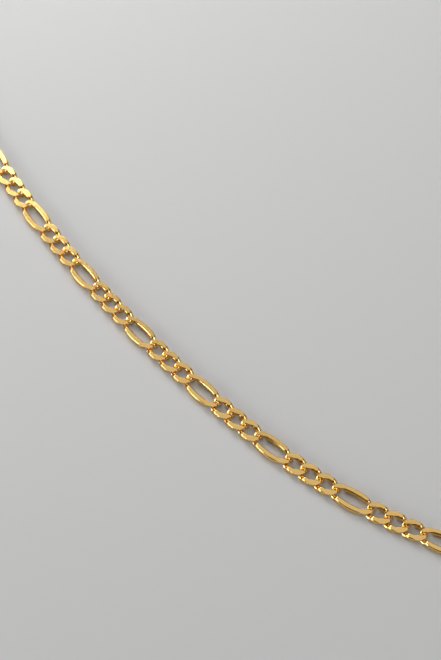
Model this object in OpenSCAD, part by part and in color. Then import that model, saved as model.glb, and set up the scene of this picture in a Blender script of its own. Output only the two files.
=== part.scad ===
// A figaro chain necklace, lying closed on a table.
// One long link follows each three short ones. Every link is an oval of flat wire, twisted
// end to end so that it rides over its neighbours and dives under them, and ground flat.
// The necklace lies in an egg-shaped loop, with its clasp at the back.

/* [Links] */
// Outside length of a short link
short_length = 4.15; // [4.1:0.01:4.2]
// Outside width of a short link
short_width = 3.3; // [3.1:0.05:3.5]
// Outside length of a long link
long_length = 7.35; // [6.95:0.1:8.05]
// Outside width of a long link
long_width = 3.5; // [3.3:0.05:3.7]
// Length that two neighbouring links share, from outer edge to outer edge
overlap = 1.25; // [1.22:0.01:1.28]
// Number of long links, with three short ones before, between and after them
long_count = 29; // [26:1:29]

/* [Wire] */
// Width of the wire at the two ends of a link
end_wire = 0.45; // [0.4:0.01:0.48]
// Width of the wire along the two bars of a link
bar_wire = 0.84; // [0.7:0.02:0.88]
// Height of the wire at the two ends of a link
end_height = 0.45; // [0.4:0.01:0.48]
// Height of the wire along the bars, before it is ground flat
bar_height = 1.3; // [1:0.1:1.4]
// Height of the finished chain, ground flat above and below
chain_height = 1.05; // [0.95:0.01:1.15]
// Free height between two wires that cross
crossing_gap = 0.24; // [0.22:0.01:0.26]
// Width of the bevel along the edges of the wire
edge = 0.12; // [0.08:0.01:0.14]

/* [Clasp] */
// Free run between the outer ends of the first and the last link
clasp_run = 11; // [11:0.1:12]
// Radius of a ring, to the middle of its wire
ring_radius = 1.5; // [1.45:0.01:1.55]
// Thickness of a ring's wire
ring_wire = 0.5; // [0.4:0.02:0.5]
// How far a ring leans up from the table, in degrees
ring_lean = 60; // [56:1:66]
// Radius of the clasp's round ends, to the middle of its bar
clasp_bend = 1.3; // [1.25:0.01:1.35]
// Thickness of the clasp's bar
clasp_bar = 0.9; // [0.8:0.02:0.92]
// Thickness of the clasp's body at its thickest
clasp_body = 2.3; // [2:0.1:2.4]
// Radius of the clasp's eye, to the middle of its wire
eye_radius = 1.05; // [1:0.01:1.1]
// Thickness of the eye's wire
eye_wire = 0.6; // [0.5:0.02:0.64]

/* [Loop] */
// Heading of the loop where it starts, just after the clasp
start_heading = 193; // [187:1:199]

/* [Hidden] */
gold = [0.86, 0.68, 0.32];
$fn = 48;

// Two kinds of link. SIDES is the number of straight pieces round the oval, and SLOPE the
// distance from the middle within which a bar sinks from its highest to its lowest.
LENGTH = 0;
WIDTH = 1;
SIDES = 2;
SLOPE = 3;
short_link = [short_length, short_width, 10, 0.65];
long_link = [long_length, long_width, 14, 2];

// How square the oval is, from 1 for an ellipse down, and how quickly the wire widens from
// a link's ends to its bars
squareness = 0.8;
widening = 3;
// Share of the way round from a link's end to the middle of its bar where the wire begins to
// thicken, and the share over which it reaches its full height
thick_from = 0.79;
thick_over = 0.11;
// Distance from the middle line within which a link's end crosses from high to low
end_slope = 0.45;
// Number of edges along the wire
corners = 6;

// The last link at each end of the chain climbs to its ring
end_climb = 0.5;
climb_start = 0.8;
climb_run = 2.4;

// Number of short links before, between and after the long ones
shorts = 3;
link_count = (shorts + 1) * long_count + shorts;
short_pitch = short_length - overlap;
long_pitch = long_length - overlap;
chain_run = shorts * (long_count + 1) * short_pitch + long_count * long_pitch + overlap;
necklace_run = chain_run + clasp_run;

// The loop is a row of arcs in the order that the chain runs, anticlockwise from the clasp.
// RUN is an arc's share of the necklace's length, or 0 where closing the loop decides it.
TURN = 0;
RUN = 1;
loop = [
    [155, 0],                           // left end
    [20, 0.187],                        // front
    [25, 0.1],                          // front, bending more
    [125, 0],                           // right end
    [35, 0],                            // back
    [0, clasp_run / necklace_run],      // straight along the clasp
];
rows = [0 : len(loop) - 1];

function sum(list, count, start = 0) = count <= 0 ? start : list[count - 1] + sum(list, count - 1, start);
function clamp(value, low, high) = min(max(value, low), high);
function power(value, exponent) = sign(value) * pow(abs(value), exponent);

// Way made good for each millimetre of run, along an arc that leaves at heading and turns
function way(heading, turn) =
    let (chord = turn == 0 ? 1 : sin(turn / 2) / (turn / 2 * PI / 180))
    chord * [cos(heading + turn / 2), sin(heading + turn / 2)];

headings = [for (i = rows) sum([for (row = loop) row[TURN]], i, start_heading)];
ways = [for (i = rows) let (w = way(headings[i], loop[i][TURN])) [w.x, w.y, 1]];

// Three runs are free. They bring the loop back to its start with its whole length used up.
function det(a, b, c) = a * cross(b, c);
free = [for (i = rows) if (loop[i][RUN] == 0) ways[i]];
missing = [0, 0, necklace_run] - [for (row = loop) row[RUN] * necklace_run] * ways;
closing = [det(missing, free[1], free[2]), det(free[0], missing, free[2]), det(free[0], free[1], missing)]
    / det(free[0], free[1], free[2]);
function free_before(row) = len([for (i = rows) if (i < row && loop[i][RUN] == 0) i]);
runs = [for (i = rows) loop[i][RUN] == 0 ? closing[free_before(i)] : loop[i][RUN] * necklace_run];
run_starts = [for (i = rows) sum(runs, i)];
joins = [for (i = rows) sum([for (j = rows) runs[j] * [ways[j].x, ways[j].y]], i, [0, 0])];

// Point of the loop at a run from its start, and the heading there
function row_at(run, row = 0) =
    row + 1 < len(loop) && run > run_starts[row + 1] ? row_at(run, row + 1) : row;
function on_loop(run) =
    let (
        row = row_at(run),
        along = run - run_starts[row],
        turned = loop[row][TURN] * along / runs[row],
        point = joins[row] + along * way(headings[row], turned)
    )
    [point.x, point.y, headings[row] + turned];

// Middle of the loop, which is the part's origin
trace = [for (run = [0 : 1 : necklace_run]) on_loop(run)];
middle = [for (axis = [0 : 1]) let (v = [for (p = trace) p[axis]]) (max(v) + min(v)) / 2];

// Link number i, counted from the clasp, is long after each three short ones
function is_long(i) = i % (shorts + 1) == shorts;
function kind(i) = is_long(i) ? long_link : short_link;
function link_run(i) =
    let (longs_before = floor(i / (shorts + 1)))
    longs_before * long_pitch + (i - longs_before) * short_pitch + kind(i)[LENGTH] / 2;

// Height that the first and the last link gain towards their outer ends
function climb(i, x) =
    let (outward = i == 0 ? -x : i == link_count - 1 ? x : -short_length)
    end_climb * clamp((outward + short_length / 2 - climb_start) / climb_run, 0, 1);

// The wire's six corners at an angle round link i, before the link is put on the loop.
// Its centre follows a rounded oval. The far bar starts high and ends low, the near one the
// other way round, and what rises above or sinks below the chain's faces is ground off.
function section(i, angle) =
    let (
        link = kind(i),
        reach = (link[LENGTH] - end_wire) / 2,
        spread = (link[WIDTH] - bar_wire) / 2,
        x = reach * power(cos(angle), squareness),
        y = spread * power(sin(angle), squareness),
        across = [power(cos(angle), 2 - squareness) / reach, power(sin(angle), 2 - squareness) / spread],
        out = across / norm(across),
        barness = abs(sin(angle)),
        half_width = (end_wire + (bar_wire - end_wire) * pow(barness, widening)) / 2,
        thickness = clamp((barness - thick_from) / thick_over, 0, 1),
        half_height = (end_height + (bar_height - end_height) * thickness) / 2,
        ride = -clamp(x / link[SLOPE], -1, 1) * clamp(y / end_slope, -1, 1),
        level = ride * (end_height + crossing_gap) / 2,
        top = min(level + half_height, chain_height / 2),
        bottom = max(level - half_height, -chain_height / 2),
        side = (top + bottom) / 2,
        flat = half_width - edge,
        outer_half = [[flat, bottom], [half_width, side], [flat, top]],
        inner_half = [[-flat, top], [-half_width, side], [-flat, bottom]]
    )
    [for (corner = concat(outer_half, inner_half))
        [x + out.x * corner[0], y + out.y * corner[0], corner[1] + chain_height / 2 + climb(i, x)]];

function put_on_loop(point, place) =
    [place.x + point.x * cos(place.z) - point.y * sin(place.z) - middle.x,
     place.y + point.x * sin(place.z) + point.y * cos(place.z) - middle.y,
     point.z];

function link_points(i) =
    let (place = on_loop(link_run(i)), sides = kind(i)[SIDES])
    [for (k = [0 : sides - 1], point = section(i, 360 * (k + 0.5) / sides)) put_on_loop(point, place)];

// Two triangles for each side of the wire between one section and the next
function link_faces(sides, first) =
    [for (k = [0 : sides - 1], c = [0 : corners - 1])
        let (
            here = first + k * corners,
            next = first + (k + 1) % sides * corners,
            d = (c + 1) % corners
        )
        each [[here + c, next + d, next + c], [here + c, here + d, next + d]]];

module links(numbers) {
    sides = kind(numbers[0])[SIDES];
    polyhedron(
        points = [for (i = numbers) each link_points(i)],
        faces = [for (j = [0 : len(numbers) - 1]) each link_faces(sides, j * sides * corners)]
    );
}

module long_links() {
    color(gold)
        links([for (i = [0 : link_count - 1]) if (is_long(i)) i]);
}

module short_links() {
    color(gold)
        links([for (i = [0 : link_count - 1]) if (!is_long(i)) i]);
}

// The straight stretch behind the chain's last link, with X along it and Z up
module at_clasp() {
    place = on_loop(chain_run);
    translate([place.x - middle.x, place.y - middle.y, 0])
        rotate(place.z)
            children();
}

// A ring's centre lies a little past the outer end of the link that it holds
ring_inset = 0.4;
ring_level = ring_radius * sin(ring_lean) + ring_wire / 2;

module torus(radius, wire, angle = 360) {
    rotate_extrude(angle = angle)
        translate([radius, 0])
            circle(d = wire);
}

module leaning_ring(x, lean) {
    color(gold)
        translate([x, 0, ring_level])
            rotate([lean, 0, 0])
                torus(ring_radius, ring_wire);
}

module clasp_ring() {
    at_clasp()
        leaning_ring(ring_inset, ring_lean);
}

module end_ring() {
    at_clasp()
        leaning_ring(clasp_run - ring_inset, -ring_lean);
}

// The clasp hangs level in the two rings: an eye, then a closed hook with a thick body on
// one side and a plain bar on the other. The eye and the hook hang a little loose.
eye_slack = 0.1;
hook_slack = 0.15;
eye_to_shoulder = 2.55;
eye_x = ring_inset + ring_radius - eye_slack;
shoulder_x = eye_x + eye_to_shoulder;
hook_x = clasp_run - ring_inset - ring_radius + hook_slack;
// Length over which the body swells at its start and narrows at its end
taper_in = 0.7;
taper_out = 1.2;

module clasp() {
    color(gold)
        at_clasp()
            translate([0, 0, ring_level]) {
                translate([eye_x, 0, 0])
                    torus(eye_radius, eye_wire);
                translate([shoulder_x, 0, 0])
                    rotate(90)
                        torus(clasp_bend, clasp_bar, 180);
                translate([hook_x, 0, 0])
                    rotate(-90)
                        torus(clasp_bend, clasp_bar, 180);
                translate([shoulder_x, clasp_bend, 0])
                    rotate([0, 90, 0])
                        cylinder(d = clasp_bar, h = hook_x - shoulder_x);
                translate([shoulder_x, -clasp_bend, 0])
                    clasp_body_bar(hook_x - shoulder_x);
            }
}

module clasp_body_bar(run) {
    rotate([0, 90, 0])
        rotate_extrude()
            polygon([
                [0, 0],
                [clasp_bar / 2, 0],
                [clasp_body / 2, taper_in],
                [clasp_body / 2, run - taper_out],
                [clasp_bar / 2, run],
                [0, run],
            ]);
}

long_links();
short_links();
clasp_ring();
clasp();
end_ring();
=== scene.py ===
import math
import random
import bpy
from mathutils import Matrix, Vector


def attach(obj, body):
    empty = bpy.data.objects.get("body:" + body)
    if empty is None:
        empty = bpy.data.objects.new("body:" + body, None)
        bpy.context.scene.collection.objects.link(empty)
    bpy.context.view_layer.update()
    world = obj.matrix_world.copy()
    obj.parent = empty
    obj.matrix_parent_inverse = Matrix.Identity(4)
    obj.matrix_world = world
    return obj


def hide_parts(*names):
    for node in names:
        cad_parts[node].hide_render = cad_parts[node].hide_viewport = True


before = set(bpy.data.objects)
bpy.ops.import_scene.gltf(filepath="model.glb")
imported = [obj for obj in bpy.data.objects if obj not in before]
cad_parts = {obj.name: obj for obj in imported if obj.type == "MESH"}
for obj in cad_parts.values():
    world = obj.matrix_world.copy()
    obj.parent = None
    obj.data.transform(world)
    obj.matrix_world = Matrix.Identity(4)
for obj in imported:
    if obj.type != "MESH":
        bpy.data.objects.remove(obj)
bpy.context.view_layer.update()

# The necklace lies closed on a table, in an egg-shaped loop of arcs. The chain runs
# anticlockwise from the clasp, and the clasp closes the last straight stretch. A share is an
# arc's part of the whole length, and None where closing the loop decides it.
MM = 0.001
SHORT_LENGTH = 4.15 * MM
LONG_LENGTH = 7.35 * MM
OVERLAP = 1.25 * MM
SHORTS_IN_A_ROW = 3
LONG_COUNT = 29
CLASP_RUN = 11 * MM
START_HEADING = 193
TRACE_STEPS = 500

short_pitch = SHORT_LENGTH - OVERLAP
long_pitch = LONG_LENGTH - OVERLAP
link_count = (SHORTS_IN_A_ROW + 1) * LONG_COUNT + SHORTS_IN_A_ROW
chain_run = SHORTS_IN_A_ROW * (LONG_COUNT + 1) * short_pitch + LONG_COUNT * long_pitch + OVERLAP
necklace_run = chain_run + CLASP_RUN
ARCS = (  # turn in degrees, share of the length
    (155, None),
    (20, 0.187),
    (25, 0.1),
    (125, None),
    (35, None),
    (0, CLASP_RUN / necklace_run),
)


def way(heading, turn):
    """Way made good for each metre of run along an arc that leaves at heading and turns."""
    half = math.radians(turn) / 2
    chord = math.sin(half) / half if turn else 1
    along = math.radians(heading) + half
    return Vector((math.cos(along), math.sin(along), 0)) * chord


headings = [START_HEADING + sum(turn for turn, share in ARCS[:i]) for i in range(len(ARCS))]
ways = [way(heading, turn) for heading, (turn, share) in zip(headings, ARCS)]
free = [i for i, (turn, share) in enumerate(ARCS) if share is None]
closing = Matrix([[ways[i].x for i in free], [ways[i].y for i in free], [1, 1, 1]])
fixed_share = sum(share for turn, share in ARCS if share)
fixed_way = sum((ways[i] * share for i, (turn, share) in enumerate(ARCS) if share), Vector())
solved = closing.inverted() @ Vector((-fixed_way.x, -fixed_way.y, 1 - fixed_share)) * necklace_run
runs = [solved[free.index(i)] if i in free else ARCS[i][1] * necklace_run for i in range(len(ARCS))]


def on_loop(run):
    """Point of the loop at a run from its start, and the heading there in degrees."""
    point = Vector()
    for length, heading, (turn, share) in zip(runs, headings, ARCS):
        if run <= length or heading == headings[-1]:
            turned = turn * run / length
            return point + way(heading, turned) * run, heading + turned
        point += way(heading, turn) * length
        run -= length


trace = [on_loop(necklace_run * i / TRACE_STEPS)[0] for i in range(TRACE_STEPS + 1)]
middle = Vector([(max(values) + min(values)) / 2 for values in zip(*trace)])


def is_long(number):
    """Whether a link is a long one. The links are counted from the clasp."""
    return number % (SHORTS_IN_A_ROW + 1) == SHORTS_IN_A_ROW


def link_place(number):
    """Middle of a link on the table, and its heading."""
    longs = number // (SHORTS_IN_A_ROW + 1)
    half = (LONG_LENGTH if is_long(number) else SHORT_LENGTH) / 2
    point, heading = on_loop(longs * long_pitch + (number - longs) * short_pitch + half)
    return point - middle, heading


# The camera looks down on the front of the loop, as the photographer did, along a line that
# passes close by one long link. The photographed chain runs down to the right there.
SEEN_LINK = 51
SEEN_HEADING = -45.2
SEEN_RIGHT = -2.82 * MM
SEEN_AWAY = -11.45 * MM
ELEVATION = 57
DISTANCE = 250.6 * MM
FOCAL_PIXELS = 1560
PICTURE_HEIGHT = 660
SENSOR = 36
AIM_HEIGHT = 0.6 * MM
CLIP_START = 10 * MM

link_point, link_heading = link_place(SEEN_LINK)
view_turn = math.radians(link_heading - SEEN_HEADING)
right = Vector((math.cos(view_turn), math.sin(view_turn), 0))
away = Vector((-math.sin(view_turn), math.cos(view_turn), 0))
aim = link_point - right * SEEN_RIGHT - away * SEEN_AWAY + Vector((0, 0, AIM_HEIGHT))
tilt = math.radians(ELEVATION)
back = Vector((0, 0, math.sin(tilt))) - away * math.cos(tilt)

bpy.ops.object.select_all(action="DESELECT")
bpy.ops.object.camera_add(location=aim + back * DISTANCE)
camera = bpy.context.object
camera.rotation_euler = (-back).to_track_quat("-Z", "Y").to_euler()
camera.data.sensor_width = SENSOR
camera.data.lens = SENSOR * FOCAL_PIXELS / PICTURE_HEIGHT
camera.data.clip_start = CLIP_START
bpy.context.scene.camera = camera


# A short link is an oval of flat gold wire, soldered shut, narrow at its ends and wide along its
# two bars. The far bar starts high and ends low and the near one the other way round, so that
# the links pass through each other, and the chain is then ground flat above and below.
SHORT_WIDTH = 3.35 * MM
SHORT_BENDS = 10
# The alloy is polished bright, and wear left patches that are a little duller
GOLD = (0.95, 0.645, 0.24, 1)
DULL_GOLD = (0.77, 0.48, 0.155, 1)
ROUGHNESS = 0.14
PATCH_ROUGHNESS = 0.1
PATCH_SIZE = 1.3 * MM
# Fine lines of grinding: how many to a link's half width, and their bends to its half length
LINES_ACROSS = 26
LINES_ALONG = 1.3
LINE_DEPTH = 0.006 * MM
LINE_SHARE = 0.6
NOISE_DETAIL = 2
# How square the oval is that the lines follow, as the power in its formula
OVAL_POWER = 2.3


class Paint:
    """A socket of a material's node tree, for expressions that add nodes to the tree."""

    def __init__(self, tree, socket=None):
        self.tree = tree
        self.socket = socket

    def node(self, kind, settings, inputs, output=0):
        """Adds a node with its settings and inputs, and gives one of its outputs."""
        made = self.tree.nodes.new(kind)
        for name, value in settings.items():
            setattr(made, name, value)
        for name, value in inputs.items():
            if isinstance(value, Paint):
                self.tree.links.new(value.socket, made.inputs[name])
            else:
                made.inputs[name].default_value = value
        return Paint(self.tree, made.outputs[output])

    def math(self, operation, first, second):
        return self.node("ShaderNodeMath", {"operation": operation}, {0: first, 1: second})

    def __add__(self, other):
        return self.math("ADD", self, other)

    def __radd__(self, other):
        return self.math("ADD", other, self)

    def __sub__(self, other):
        return self.math("SUBTRACT", self, other)

    def __rsub__(self, other):
        return self.math("SUBTRACT", other, self)

    def __mul__(self, other):
        return self.math("MULTIPLY", self, other)

    def __rmul__(self, other):
        return self.math("MULTIPLY", other, self)

    def __pow__(self, other):
        return self.math("POWER", self, other)

    def __abs__(self):
        return self.math("ABSOLUTE", self, 0)


def blend(paint, share, first, second):
    """Colour between two colours, by a share from 0 to 1."""
    return paint.node("ShaderNodeMix", {"data_type": "RGBA"}, {"Factor": share, 6: first, 7: second}, 2)


def make_gold(name, ground):
    """Polished gold, with or without the lines that grinding left along a link's bars."""
    material = bpy.data.materials.new(name)
    material.use_nodes = True
    tree = material.node_tree
    shader = tree.nodes["Principled BSDF"]
    paint = Paint(tree)
    place = paint.node("ShaderNodeTexCoord", {}, {}, "Object")
    patches = paint.node(
        "ShaderNodeTexNoise", {}, {"Vector": place, "Scale": 1 / PATCH_SIZE, "Detail": NOISE_DETAIL}
    )
    bright = patches
    if ground:
        on_link = paint.node("ShaderNodeUVMap", {"uv_map": "on_link"}, {})
        along = paint.node("ShaderNodeSeparateXYZ", {}, {"Vector": on_link}, "X")
        across = paint.node("ShaderNodeSeparateXYZ", {}, {"Vector": on_link}, "Y")
        ring = (abs(along) ** OVAL_POWER + abs(across) ** OVAL_POWER) ** (1 / OVAL_POWER)
        drawn = paint.node("ShaderNodeCombineXYZ", {}, {"X": ring * LINES_ACROSS, "Y": along * LINES_ALONG})
        lines = paint.node(
            "ShaderNodeTexNoise",
            {"noise_dimensions": "2D"},
            {"Vector": drawn, "Scale": 1, "Detail": NOISE_DETAIL},
        )
        bright = patches * (1 - LINE_SHARE) + lines * LINE_SHARE
        relief = paint.node("ShaderNodeBump", {}, {"Height": lines, "Distance": LINE_DEPTH, "Strength": 1})
        tree.links.new(relief.socket, shader.inputs["Normal"])
    colour = blend(paint, bright, DULL_GOLD, GOLD)
    roughness = ROUGHNESS + (1 - patches) * PATCH_ROUGHNESS
    tree.links.new(colour.socket, shader.inputs["Base Color"])
    tree.links.new(roughness.socket, shader.inputs["Roughness"])
    shader.inputs["Metallic"].default_value = 1
    return material


ground_gold = make_gold("ground_gold", True)

# The wire's width and height, at the tips of a link and along its bars
WIRE_AT_END = 0.54 * MM
WIRE_AT_BAR = 1.02 * MM
HEIGHT_AT_END = 0.55 * MM
HEIGHT_AT_BAR = 1.14 * MM
WIRE_SIDES = 12
WIRE_SQUARENESS = 0.95
OVAL_SQUARENESS = 0.53
# The ground faces slope down a little from the chain's middle to its sides
RIDGE_HEIGHT = 1.08 * MM
FACE_SLOPE = 3.5
# Where the wire thins and leaves its level, from the free middle of a bar outwards
THIN_FROM = -0.1 * MM
THIN_TO = 0.25 * MM
RISE_FROM = -0.6 * MM
RISE_TO = 0.25 * MM
RISE = 0.41 * MM
END_CROSSING = 0.4 * MM
# Edges sharper than EDGE_ANGLE are rounded, and neighbours within FLAT_ANGLE become one face
EDGE_RADIUS = 0.08 * MM
EDGE_ANGLE = 33
FLAT_ANGLE = 1
FLAT_WEIGHT = 90
SMALLEST_EDGE = 0.02 * MM
# How near two points are merged, on the plane that a link starts from and on the link
PLANE_MERGE = 1e-4
LINK_MERGE = MM / 1e4
ORDER_CORNER = (19 * MM, 7 * MM, 3 * MM)


def ease(value, start, end):
    """Share from 0 at the start to 1 at the end, with a soft beginning and end."""
    share = min(max((value - start) / (end - start), 0), 1)
    return share * share * (3 - 2 * share)


def push(piece, distance, share):
    """Moves a piece's points up by a distance times their share."""
    points = piece.vertex_groups.new(name="points")
    for vertex in piece.data.vertices:
        points.add([vertex.index], max(share(vertex.co), 0), "REPLACE")
    modifier = piece.modifiers.new("push", "DISPLACE")
    modifier.direction = "Z"
    modifier.mid_level = 0
    modifier.strength = distance
    modifier.vertex_group = points.name
    bpy.ops.object.modifier_apply(modifier=modifier.name)
    piece.vertex_groups.clear()


def put_in_order():
    """Numbers a link's points by their distance from a far corner, so that each run is alike."""
    bpy.context.scene.cursor.location = ORDER_CORNER
    bpy.ops.mesh.select_all(action="SELECT")
    bpy.ops.mesh.sort_elements(type="CURSOR_DISTANCE", elements={"VERT", "EDGE", "FACE"})


def add_link(name, length, width, bends):
    """Models one link at the origin, lying along X, with so many bends to a quarter of its oval."""
    free = length / 2 - OVERLAP
    bpy.ops.object.select_all(action="DESELECT")
    bpy.ops.mesh.primitive_plane_add(size=2, location=(0, 0, 0))
    link = bpy.context.object
    link.name = name
    bpy.ops.object.mode_set(mode="EDIT")
    bpy.ops.mesh.bevel(
        offset_type="PERCENT", offset_pct=50, segments=bends, profile=OVAL_SQUARENESS, affect="VERTICES"
    )
    bpy.ops.mesh.select_all(action="SELECT")
    bpy.ops.mesh.remove_doubles(threshold=PLANE_MERGE)
    bpy.ops.mesh.delete(type="ONLY_FACE")
    bpy.ops.mesh.select_all(action="SELECT")
    ovals = []
    for side in range(WIRE_SIDES):
        angle = math.tau * (side + 0.5) / WIRE_SIDES
        inward = (1 - math.copysign(abs(math.cos(angle)) ** WIRE_SQUARENESS, math.cos(angle))) / 2
        height = math.copysign(abs(math.sin(angle)) ** WIRE_SQUARENESS, math.sin(angle)) * HEIGHT_AT_END / 2
        ovals.append(Vector((length / 2 - inward * WIRE_AT_END, width / 2 - inward * WIRE_AT_BAR, height)))
    bpy.ops.transform.resize(value=(ovals[0].x, ovals[0].y, 1))
    bpy.ops.transform.translate(value=(0, 0, ovals[0].z))
    for last, oval in zip(ovals, ovals[1:] + ovals[:1]):
        bpy.ops.mesh.extrude_edges_move()
        bpy.ops.transform.resize(value=(oval.x / last.x, oval.y / last.y, 1))
        bpy.ops.transform.translate(value=(0, 0, oval.z - last.z))
    bpy.ops.mesh.select_all(action="SELECT")
    bpy.ops.mesh.remove_doubles(threshold=LINK_MERGE)
    bpy.ops.mesh.normals_make_consistent(inside=False)
    put_in_order()
    bpy.ops.object.mode_set(mode="OBJECT")
    for side in (1, -1):
        push(link, side * (HEIGHT_AT_BAR - HEIGHT_AT_END) / 2, lambda point: (
            side * point.z / (HEIGHT_AT_END / 2) * (1 - ease(abs(point.x), free + THIN_FROM, free + THIN_TO))
        ))
        push(link, side * RISE, lambda point: (
            ease(-side * point.x * math.copysign(1, point.y), free + RISE_FROM, free + RISE_TO)
            * ease(abs(point.y), 0, END_CROSSING)
        ))
    slope = math.radians(FACE_SLOPE)
    bpy.ops.object.mode_set(mode="EDIT")
    for up in (1, -1):
        for side in (1, -1):
            bpy.ops.mesh.select_all(action="SELECT")
            bpy.ops.mesh.bisect(
                plane_co=(0, 0, up * RIDGE_HEIGHT / 2),
                plane_no=(0, side * math.sin(slope), up * math.cos(slope)),
                use_fill=True,
                clear_outer=True,
                threshold=LINK_MERGE,
            )
            put_in_order()
    bpy.ops.mesh.remove_doubles(threshold=SMALLEST_EDGE)
    bpy.ops.mesh.dissolve_limited(angle_limit=math.radians(FLAT_ANGLE))
    put_in_order()
    bpy.ops.object.mode_set(mode="OBJECT")
    bevel = link.modifiers.new("bevel", "BEVEL")
    bevel.width = EDGE_RADIUS
    bevel.segments = 1
    bevel.limit_method = "ANGLE"
    bevel.angle_limit = math.radians(EDGE_ANGLE)
    bpy.ops.object.modifier_apply(modifier=bevel.name)
    bpy.ops.object.shade_smooth()
    flats = link.modifiers.new("flats", "WEIGHTED_NORMAL")
    flats.weight = FLAT_WEIGHT
    bpy.ops.object.modifier_apply(modifier=flats.name)
    for layer in list(link.data.uv_layers):
        link.data.uv_layers.remove(layer)
    on_link = link.data.uv_layers.new(name="on_link")
    for loop in link.data.loops:
        point = link.data.vertices[loop.vertex_index].co
        on_link.data[loop.index].uv = (2 * point.x / length, 2 * point.y / width)
    return link


# Each link lies as it fell, a little askew, and the last at each end climbs to its ring
MOST_ROLL = 1.8
MOST_YAW = 0.5
END_CLIMB = 0.5 * MM
CLIMB_FROM = -1.2 * MM
CLIMB_TO = 1.2 * MM
SEED = 4
chance = random.Random(SEED)


def lay_links(master, numbers):
    """Lays a copy of the master link at each of its places along the loop, as one piece."""
    copies = []
    for number in numbers:
        point, heading = link_place(number)
        link = master.copy()
        link.data = master.data.copy()
        bpy.context.scene.collection.objects.link(link)
        outward = {0: -1, link_count - 1: 1}.get(number)
        if outward:
            bpy.context.view_layer.objects.active = link
            push(link, END_CLIMB, lambda point: (
                min((outward * point.x - CLIMB_FROM) / (CLIMB_TO - CLIMB_FROM), 1)
            ))
        link.data.transform(
            Matrix.Translation(point + Vector((0, 0, RIDGE_HEIGHT / 2)))
            @ Matrix.Rotation(math.radians(heading + chance.uniform(-MOST_YAW, MOST_YAW)), 4, "Z")
            @ Matrix.Rotation(math.radians(chance.uniform(-MOST_ROLL, MOST_ROLL)), 4, "X")
        )
        copies.append(link)
    name = master.name
    bpy.data.objects.remove(master)
    bpy.ops.object.select_all(action="DESELECT")
    for link in copies:
        link.select_set(True)
    bpy.context.view_layer.objects.active = copies[0]
    bpy.ops.object.join()
    copies[0].name = name
    copies[0].data.materials.clear()
    copies[0].data.materials.append(ground_gold)
    return copies[0]


short_master = add_link("short_oval_links", SHORT_LENGTH, SHORT_WIDTH, SHORT_BENDS)
short_links = lay_links(short_master, [n for n in range(link_count) if not is_long(n)])
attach(short_links, "root")
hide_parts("short_links")


# The long links are of the same gold wire as the short ones, bent into a longer oval, and
# ground and polished with them. One follows each three short ones.
LONG_WIDTH = 3.6 * MM
LONG_BENDS = 14

long_master = add_link("long_oval_links", LONG_LENGTH, LONG_WIDTH, LONG_BENDS)
long_links = lay_links(long_master, [n for n in range(link_count) if is_long(n)])
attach(long_links, "root")
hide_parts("long_links")


# The clasp hangs in two round rings, one through each end of the chain. They are bent of round
# gold wire, and the clasp is one plain piece with an eye and a thick body, polished all over.
CREASE_ANGLE = 35
CLASP_MERGE = MM / 1e3

polished_gold = make_gold("polished_gold", False)
for node in ("clasp", "clasp_ring", "end_ring"):
    bpy.ops.object.select_all(action="DESELECT")
    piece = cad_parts[node].copy()
    piece.data = piece.data.copy()
    piece.name = "smooth_" + node
    bpy.context.scene.collection.objects.link(piece)
    bpy.context.view_layer.objects.active = piece
    piece.select_set(True)
    bpy.ops.object.mode_set(mode="EDIT")
    bpy.ops.mesh.select_all(action="SELECT")
    bpy.ops.mesh.remove_doubles(threshold=CLASP_MERGE)
    bpy.ops.object.mode_set(mode="OBJECT")
    bpy.ops.object.shade_smooth_by_angle(angle=math.radians(CREASE_ANGLE))
    piece.data.materials.clear()
    piece.data.materials.append(polished_gold)
    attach(piece, "root")
    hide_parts(node)


# The floor is plain, pale and matt. A key light low on the left draws the bright lines along
# the links, a large one overhead lights their flats and a small one on the right their tips.
# Two more behind them light the floor.
FLOOR_COLOUR = (0.7, 0.7, 0.695, 1)
FLOOR_ROUGHNESS = 0.8
FLOOR_SIZE = 4
ROOM_COLOUR = (1, 1, 1, 1)
ROOM_STRENGTH = 0.06

bpy.ops.object.select_all(action="DESELECT")
bpy.ops.mesh.primitive_plane_add(size=FLOOR_SIZE, location=(0, 0, 0))
floor = bpy.context.object
floor.name = "floor"
pale = bpy.data.materials.new("pale_floor")
pale.use_nodes = True
matt = pale.node_tree.nodes["Principled BSDF"]
matt.inputs["Base Color"].default_value = FLOOR_COLOUR
matt.inputs["Roughness"].default_value = FLOOR_ROUGHNESS
floor.data.materials.append(pale)

bpy.context.scene.view_settings.view_transform = "Standard"

world = bpy.data.worlds.new("studio")
bpy.context.scene.world = world
world.use_nodes = True
room = world.node_tree.nodes["Background"]
room.inputs["Color"].default_value = ROOM_COLOUR
room.inputs["Strength"].default_value = ROOM_STRENGTH


def add_softbox(name, direction, distance, size, power):
    """A soft light that shines at the chain in view, from right, away and up of it."""
    toward = (right * direction[0] + away * direction[1] + Vector((0, 0, direction[2]))).normalized()
    bpy.ops.object.light_add(type="AREA", location=aim + toward * distance)
    light = bpy.context.object
    light.name = name
    light.rotation_euler = toward.to_track_quat("Z", "Y").to_euler()
    light.data.shape = "RECTANGLE"
    light.data.size, light.data.size_y = size
    light.data.energy = power


add_softbox("key_light", (-0.95, 0, 0.24), 0.9, (1, 0.4), 7)
add_softbox("right_light", (0.85, -0.25, 0.45), 0.8, (0.28, 0.28), 1.25)
add_softbox("overhead_light", (0, 0.2, 1), 0.6, (0.8, 0.6), 1.05)
add_softbox("away_card", (0, 1, 0.87), 0.62, (0.6, 0.22), 0.22)
add_softbox("away_light", (-0.5, 1, 0.62), 0.32, (0.2, 0.16), 0.5)
